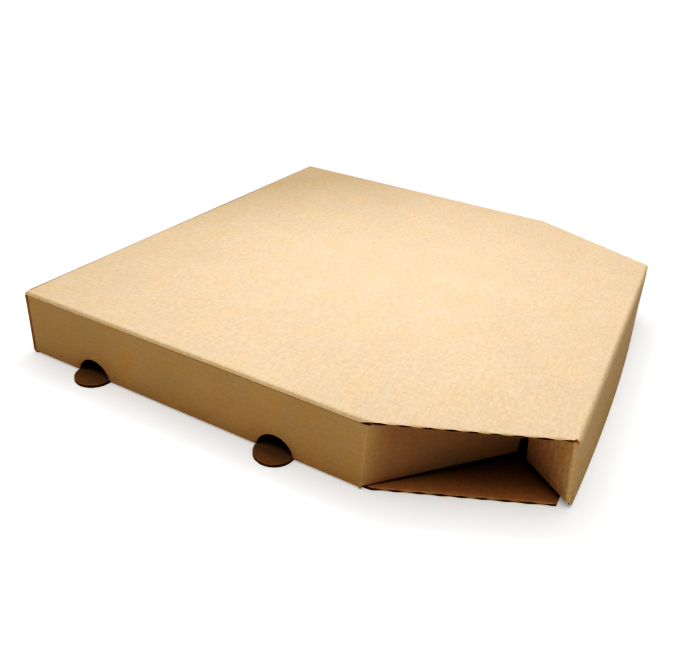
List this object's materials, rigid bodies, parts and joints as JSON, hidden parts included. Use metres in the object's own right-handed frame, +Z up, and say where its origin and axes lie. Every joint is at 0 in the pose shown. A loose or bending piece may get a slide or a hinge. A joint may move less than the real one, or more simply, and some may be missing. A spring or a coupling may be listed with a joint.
{
  "type": "pizza box",
  "caption": "Low folded corrugated cardboard pizza box with cut front corners, a front flap on its hinged lid and half-moon vents at the foot of its side walls.",
  "frame": {"origin": "middle of the underside of the floor panel, on the surface that the box stands on", "axes": "+Z up, -Y towards the front flap that opens, +X to the right across the box"},
  "size_m": [0.3208, 0.2946, 0.0385],
  "materials": {
    "tray_board": "plain brown kraft",
    "lid_board": "plain brown kraft"
  },
  "bodies": {
    "tray": {"base_tray": "tray_board"},
    "lid": {"lid": "lid_board"}
  },
  "joints": [
    {"name": "lid_hinge", "type": "hinge", "parent": "tray", "child": "lid", "pos_m": [0, 0.145, 0.0385], "axis": [-1, 0, 0], "range_deg": [0, 185]}
  ]
}
